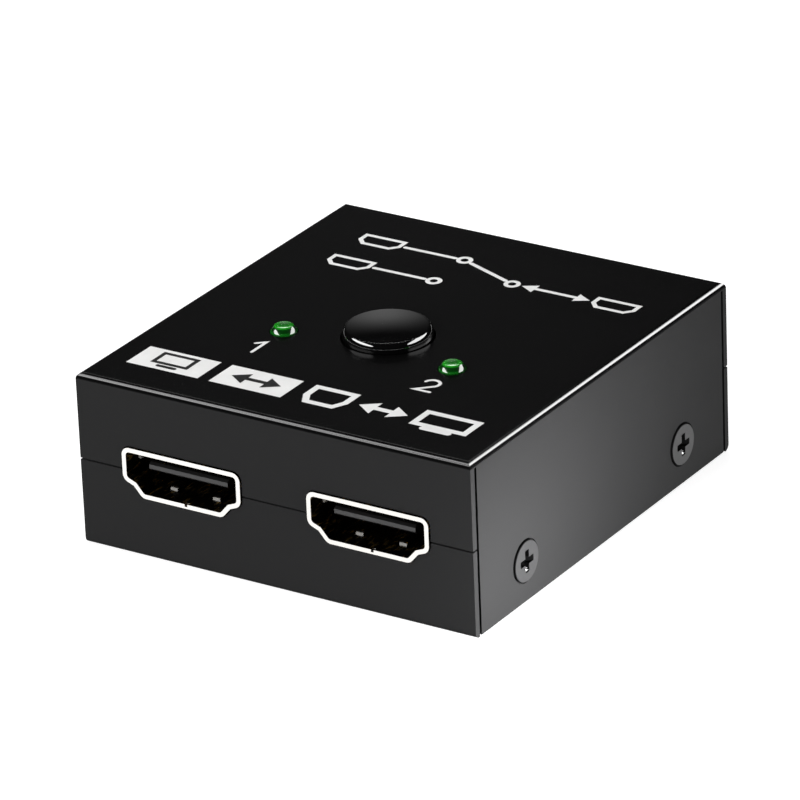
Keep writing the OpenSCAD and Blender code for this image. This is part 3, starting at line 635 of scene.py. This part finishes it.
def make_spring(look):
    """The return spring: a round wire wound up from its seat."""
    low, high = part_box("return_spring")
    centre = (low + high) / 2
    coil_r = (high.y - low.y) / 2 - SPRING_WIRE_R
    climb = high.z - low.z - 2 * SPRING_WIRE_R
    last = int(SPRING_TURNS * SPRING_STEPS)

    def wind(bm):
        rings = []
        for step in range(last + 1):
            turn = 2 * math.pi * step / SPRING_STEPS
            outward = Vector((math.cos(turn), math.sin(turn), 0.0))
            axis = Vector((centre.x, centre.y, low.z + SPRING_WIRE_R + climb * step / last))
            middle = axis + outward * coil_r
            ring = []
            for side in range(SPRING_SIDES):
                angle = 2 * math.pi * side / SPRING_SIDES
                lift = Vector((0.0, 0.0, SPRING_WIRE_R * math.sin(angle)))
                ring.append(bm.verts.new(middle + outward * SPRING_WIRE_R * math.cos(angle) + lift))
            rings.append(ring)
        for first, second in zip(rings, rings[1:]):
            for side in range(SPRING_SIDES):
                after = (side + 1) % SPRING_SIDES
                bm.faces.new((first[side], first[after], second[after], second[side]))
        bm.faces.new(rings[0])
        bm.faces.new(rings[-1])

    mesh = mesh_from("spring", wind, SPRING_SMOOTH)
    spring = add_piece("spring", mesh, look, "case")
    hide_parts("return_spring")
    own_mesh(spring)


# Print on the roof

PRINT_T = 0.015 * MM
ROUND_STEPS = 10
RING_STEPS = 28
# Keeps the outer corner of a sharp turn from running out too far
LEAST_MITRE = 0.35


def ribbon(bm, points, width, closed=False):
    """A flat line of even width through points on the roof, with round ends."""
    path = [Vector(point) * MM for point in points]
    count = len(path)
    pairs = []
    for i, point in enumerate(path):
        before = path[i - 1] if i or closed else None
        after = path[(i + 1) % count] if i < count - 1 or closed else None
        into = (point - before).normalized() if before is not None else (after - point).normalized()
        out = (after - point).normalized() if after is not None else into
        lean = (into + out).normalized()
        side = Vector((-lean.y, lean.x))
        reach = width * MM / 2 / max(side.dot(Vector((-into.y, into.x))), LEAST_MITRE)
        edges = (point + side * reach, point - side * reach)
        pairs.append([bm.verts.new((edge.x, edge.y, ROOF_Z)) for edge in edges])
    for i in range(count if closed else count - 1):
        first = pairs[i]
        second = pairs[(i + 1) % count]
        bm.faces.new((first[0], first[1], second[1], second[0]))
    if not closed:
        round_end(bm, path[0], pairs[0][0], pairs[0][1])
        round_end(bm, path[-1], pairs[-1][1], pairs[-1][0])


def round_end(bm, middle, first, last):
    """A half disc from one corner of a ribbon's end round to the other."""
    start = Vector((first.co.x, first.co.y)) - middle
    fan = [first]
    for step in range(1, ROUND_STEPS):
        turn = Matrix.Rotation(math.pi * step / ROUND_STEPS, 2)
        point = middle + turn @ start
        fan.append(bm.verts.new((point.x, point.y, ROOF_Z)))
    fan.append(last)
    bm.faces.new(fan)


def plate(bm, points):
    """A filled flat shape through points on the roof."""
    bm.faces.new([bm.verts.new((x * MM, y * MM, ROOF_Z)) for x, y in points])


def box_points(x, y, w, h):
    left, right = x - w / 2, x + w / 2
    near, far = y - h / 2, y + h / 2
    return [(left, near), (right, near), (right, far), (left, far)]


def ring_points(x, y, radius):
    return arc((x, y), radius, 0.0, 360.0, RING_STEPS)[:-1]


# Shares of a socket mark's size: how far below its middle the slants start, and half its foot
SOCKET_SLANT = 0.1
SOCKET_FOOT = 0.34


def socket_points(x, y, w, h):
    """Outline of a socket: straight upper sides, slanted lower corners."""
    right = [(w * SOCKET_FOOT, -h / 2), (w / 2, -h * SOCKET_SLANT), (w / 2, h / 2)]
    left = [(-across, up) for across, up in reversed(right)]
    return [(x + across, y + up) for across, up in left + right]


def screen(bm, x, y, w, h, stroke, lift=0.35):
    """A screen, raised a little, over the foot of its stand, which is half as wide."""
    foot_y = y - h / 2 - lift
    ribbon(bm, box_points(x, y + lift, w, h), stroke, closed=True)
    ribbon(bm, [(x - w / 4, foot_y), (x + w / 4, foot_y)], stroke)


def double_arrow(bm, x, y, w, stroke, head, head_half):
    """A line with a filled head at both ends, as one shape."""
    tip = w / 2
    neck = tip - head
    side = stroke / 2
    lower = [(-tip, 0.0), (-neck, -head_half), (-neck, -side), (neck, -side), (neck, -head_half)]
    upper = [(-across, -up) for across, up in lower]
    plate(bm, [(x + across, y + up) for across, up in lower + upper])


def print_marks(name, build, look, lift=0.0):
    """A thin layer of ink on the roof, filled in by build(bm)."""
    mesh = mesh_from(name, build, 0.0)
    mesh.shade_flat()
    mesh.transform(Matrix.Translation((0.0, 0.0, PRINT_T + lift)))
    marks = add_piece(name, mesh, look, "case")
    skin = marks.modifiers.new("skin", "SOLIDIFY")
    skin.thickness = PRINT_T
    skin.offset = -1.0


NUMERAL_Y_MM = -11.75
NUMERAL_H_MM = 3.24
NUMERAL_STROKE_MM = 0.38
NUMERAL_HALF_MM = (NUMERAL_H_MM - NUMERAL_STROKE_MM) / 2
STEM_X_MM = -10.89
FLAG_W_MM = 0.92
FLAG_H_MM = 0.75
BOW_X_MM = 10.5
BOW_R_MM = 0.86
# In degrees
BOW_START = 168.0
BOW_END = -38.0
BOW_STEPS = 18
FOOT_PAST_BOW_MM = 0.08


def numeral_1(bm):
    top = NUMERAL_Y_MM + NUMERAL_HALF_MM
    bottom = NUMERAL_Y_MM - NUMERAL_HALF_MM
    flag = (STEM_X_MM - FLAG_W_MM, top - FLAG_H_MM)
    ribbon(bm, [flag, (STEM_X_MM, top), (STEM_X_MM, bottom)], NUMERAL_STROKE_MM)


def numeral_2(bm):
    bottom = NUMERAL_Y_MM - NUMERAL_HALF_MM
    bow_y = NUMERAL_Y_MM + NUMERAL_HALF_MM - BOW_R_MM
    foot = BOW_R_MM + FOOT_PAST_BOW_MM
    bow = arc((BOW_X_MM, bow_y), BOW_R_MM, BOW_START, BOW_END, BOW_STEPS)
    ribbon(bm, bow + [(BOW_X_MM - foot, bottom), (BOW_X_MM + foot, bottom)], NUMERAL_STROKE_MM)


DIAGRAM_STROKE_MM = 0.5
DIAGRAM_ROWS_MM = (18.35, 11.95)
DIAGRAM_SOCKET_X_MM = -14.65
DIAGRAM_SOCKET_W_MM = 5.0
DIAGRAM_SOCKET_H_MM = 2.2
COMMON_X_MM = 17.2
CONTACT_X_MM = -3.75
CONTACT_R_MM = 0.7
PIVOT_X_MM = 4.3
LINE_GAP_MM = 0.7
ARROW_PIVOT_GAP_MM = 0.55
ARROW_SOCKET_GAP_MM = 0.6


def signal_diagram(bm):
    """Two sockets, a change-over contact and a common socket: what the box does, as a line drawing."""
    stroke = DIAGRAM_STROKE_MM
    upper, lower = DIAGRAM_ROWS_MM
    middle = (upper + lower) / 2
    half_socket = DIAGRAM_SOCKET_W_MM / 2
    reach = CONTACT_R_MM + stroke

    def socket(x, y):
        outline = socket_points(x, y, DIAGRAM_SOCKET_W_MM, DIAGRAM_SOCKET_H_MM)
        ribbon(bm, outline, stroke, closed=True)

    def contact(x, y):
        ribbon(bm, ring_points(x, y, CONTACT_R_MM), stroke, closed=True)

    for y in DIAGRAM_ROWS_MM:
        socket(DIAGRAM_SOCKET_X_MM, y)
        line_start = DIAGRAM_SOCKET_X_MM + half_socket + LINE_GAP_MM
        ribbon(bm, [(line_start, y), (CONTACT_X_MM - reach, y)], stroke)
        contact(CONTACT_X_MM, y)
    contact(PIVOT_X_MM, middle)
    pivot = Vector((PIVOT_X_MM, middle))
    chosen = Vector((CONTACT_X_MM, upper))
    arm = (chosen - pivot).normalized()
    ribbon(bm, [pivot + arm * reach, chosen - arm * reach], stroke)
    socket(COMMON_X_MM, middle)
    arrow_start = PIVOT_X_MM + CONTACT_R_MM + ARROW_PIVOT_GAP_MM
    arrow_end = COMMON_X_MM - half_socket - ARROW_SOCKET_GAP_MM
    double_arrow(bm, (arrow_start + arrow_end) / 2, middle, w=arrow_end - arrow_start, stroke=stroke,
                 head=1.7, head_half=0.95)


ROW_Y_MM = -19.27
ROW_H_MM = 4.61
ROW_STROKE_MM = 0.75
# Middle and width of each badge
BADGES_MM = ((-16.79, 9.12), (-6.3, 9.05))


def badges(bm):
    for x, w in BADGES_MM:
        plate(bm, box_points(x, ROW_Y_MM, w, ROW_H_MM))


def badge_marks(bm):
    (screen_x, _), (arrow_x, _) = BADGES_MM
    screen(bm, screen_x, ROW_Y_MM, w=4.2, h=2.3, stroke=0.5)
    double_arrow(bm, arrow_x, ROW_Y_MM, w=6.2, stroke=0.6, head=1.9, head_half=1.25)


def row_marks(bm):
    """Bold marks to the right of the badges: socket, double arrow, screen."""
    ribbon(bm, socket_points(x=2.7, y=ROW_Y_MM, w=4.8, h=3.6), ROW_STROKE_MM, closed=True)
    double_arrow(bm, x=9.6, y=ROW_Y_MM, w=6.0, stroke=ROW_STROKE_MM, head=2.0, head_half=1.4)
    screen(bm, x=17.1, y=ROW_Y_MM, w=6.2, h=3.0, stroke=ROW_STROKE_MM)


def make_print(looks):
    for build in (numeral_1, numeral_2, signal_diagram, badges, row_marks):
        print_marks(build.__name__, build, looks["print_ink"])
    print_marks("badge_marks", badge_marks, looks["print_dark"], PRINT_T)


# Stage and lights

FLOOR_SIZE = 4.0
FLOOR_COLOUR = (0.5, 0.5, 0.5, 1.0)
FLOOR_SEEN = 0.8
FLOOR_MIRRORED = 0.65


def make_floor():
    """White floor: it keeps the shadow, and shows white to the camera and pale in reflections."""
    half = FLOOR_SIZE / 2
    corners = [(-half, -half, 0), (half, -half, 0), (half, half, 0), (-half, half, 0)]
    mesh = bpy.data.meshes.new("floor")
    mesh.from_pydata(corners, [], [(0, 1, 2, 3)])
    look = bpy.data.materials.new("floor")
    look.use_nodes = True
    look.node_tree.nodes.clear()
    matte = add_node(look, "ShaderNodeBsdfDiffuse", Color=FLOOR_COLOUR)
    glow = add_node(look, "ShaderNodeEmission")
    rays = add_node(look, "ShaderNodeLightPath")
    mirrored = add_node(look, "ShaderNodeMath")
    dimmed = add_node(look, "ShaderNodeMath")
    dimmed.operation = "MULTIPLY"
    dimmed.inputs[1].default_value = FLOOR_MIRRORED
    level = add_node(look, "ShaderNodeMath")
    level.operation = "MULTIPLY_ADD"
    level.inputs[1].default_value = FLOOR_SEEN
    both = add_node(look, "ShaderNodeAddShader")
    output = add_node(look, "ShaderNodeOutputMaterial")
    join(look, rays.outputs["Is Glossy Ray"], mirrored.inputs[0])
    join(look, rays.outputs["Is Transmission Ray"], mirrored.inputs[1])
    join(look, mirrored.outputs["Value"], dimmed.inputs[0])
    join(look, rays.outputs["Is Camera Ray"], level.inputs[0])
    join(look, dimmed.outputs["Value"], level.inputs[2])
    join(look, level.outputs["Value"], glow.inputs["Strength"])
    join(look, matte.outputs["BSDF"], both.inputs[0])
    join(look, glow.outputs["Emission"], both.inputs[1])
    join(look, both.outputs["Shader"], output.inputs["Surface"])
    mesh.materials.append(look)
    floor = bpy.data.objects.new("floor", mesh)
    scene.collection.objects.link(floor)


def softbox(name, place_mm, width, height, radiance, matt=True, mirrored=True, only=None):
    """A soft oval lamp of even brightness, facing the object's middle. It can be kept from lighting matt
    surfaces, from being mirrored in glossy ones, or to one CAD node."""
    data = bpy.data.lights.new(name, "AREA")
    data.shape = "ELLIPSE"
    data.size = width
    data.size_y = height
    area = math.pi * width * height / 4
    data.energy = radiance * math.pi * area
    lamp = bpy.data.objects.new(name, data)
    place = Vector(place_mm) * MM
    middle = Vector((0.0, 0.0, ROOF_Z / 2))
    turn = (middle - place).to_track_quat("-Z", "Y")
    lamp.matrix_world = Matrix.Translation(place) @ turn.to_matrix().to_4x4()
    lamp.visible_camera = False
    lamp.visible_diffuse = matt
    lamp.visible_glossy = mirrored
    scene.collection.objects.link(lamp)
    if only:
        lit = bpy.data.collections.new(name)
        lit.objects.link(nodes[only])
        lamp.light_linking.receiver_collection = lit


SKY_GLOW = 0.004
PANEL_GLOW = 0.19
PANEL_AZIMUTH = math.radians(123.8)
PANEL_HALF_WIDTH = math.radians(7.5)
PANEL_TOP = math.radians(31.0)
PANEL_FULL = math.radians(16.0)
# How far a direction has to point towards the panel's side of the room to count in full
PANEL_SIDE = 0.3


def make_world():
    """A dim room with one tall pale panel behind the object, soft at its sides and its top."""
    world = bpy.data.worlds.new("room")
    world.use_nodes = True
    scene.world = world
    place = add_node(world, "ShaderNodeTexCoord").outputs["Generated"]
    parts = add_node(world, "ShaderNodeSeparateXYZ")
    join(world, place, parts.inputs["Vector"])

    def towards(azimuth):
        turned = add_node(world, "ShaderNodeVectorMath")
        turned.operation = "DOT_PRODUCT"
        turned.inputs[1].default_value = (math.cos(azimuth), math.sin(azimuth), 0.0)
        join(world, place, turned.inputs[0])
        return turned.outputs["Value"]

    def fade(source, none, full):
        ranged = add_node(world, "ShaderNodeMapRange", From_Min=none, From_Max=full)
        ranged.interpolation_type = "SMOOTHSTEP"
        join(world, source, ranged.inputs["Value"])
        return ranged.outputs["Result"]

    sideways = add_node(world, "ShaderNodeMath")
    sideways.operation = "ABSOLUTE"
    join(world, towards(PANEL_AZIMUTH + math.pi / 2), sideways.inputs[0])
    across = fade(sideways.outputs["Value"], math.sin(PANEL_HALF_WIDTH), 0.0)
    upright = fade(parts.outputs["Z"], math.sin(PANEL_TOP), math.sin(PANEL_FULL))
    behind = fade(towards(PANEL_AZIMUTH), 0.0, PANEL_SIDE)
    level = add_node(world, "ShaderNodeMapRange", To_Min=SKY_GLOW, To_Max=PANEL_GLOW)
    join(world, times(world, times(world, across, upright), behind), level.inputs["Value"])
    background = world.node_tree.nodes["Background"]
    background.inputs["Color"].default_value = (1.0, 1.0, 1.0, 1.0)
    join(world, level.outputs["Result"], background.inputs["Strength"])


def make_lights():
    """The first five lamps draw the highlights, two of them only along the bends, and the rest fill in."""
    softbox("back_box", (302, 196, 235), width=0.6, height=0.16, radiance=3.4, matt=False)
    softbox("left_box", (-235, -260, 230), width=0.5, height=0.11, radiance=4.0)
    softbox("right_bend_box", (166, 320, 226), width=0.2, height=0.2, radiance=4.5, matt=False,
            only="top_cover")
    softbox("front_bend_box", (-210, -165, 335), width=0.16, height=0.16, radiance=2.8, matt=False,
            only="top_cover")
    softbox("far_box", (-155, 231, 298), width=0.3, height=0.06, radiance=3.0)
    softbox("top_box", (0, 0, 400), width=0.2, height=0.2, radiance=6.0, mirrored=False)
    softbox("front_box", (0, -350, 150), width=0.2, height=0.2, radiance=7.5, mirrored=False)
    softbox("rear_box", (-220, 290, 150), width=0.2, height=0.2, radiance=8.0, mirrored=False)
    softbox("right_box", (54, -24, 3.2), width=0.024, height=0.006, radiance=145.0, mirrored=False)


make_camera()
looks = make_looks()
dress_nodes(looks)
make_cap(looks["cap_plastic"])
for led in (1, 2):
    make_lens(led, looks["indicator_lens"])
make_spring(looks["spring_steel"])
make_print(looks)
make_floor()
make_world()
make_lights()
scene.view_settings.view_transform = "Standard"
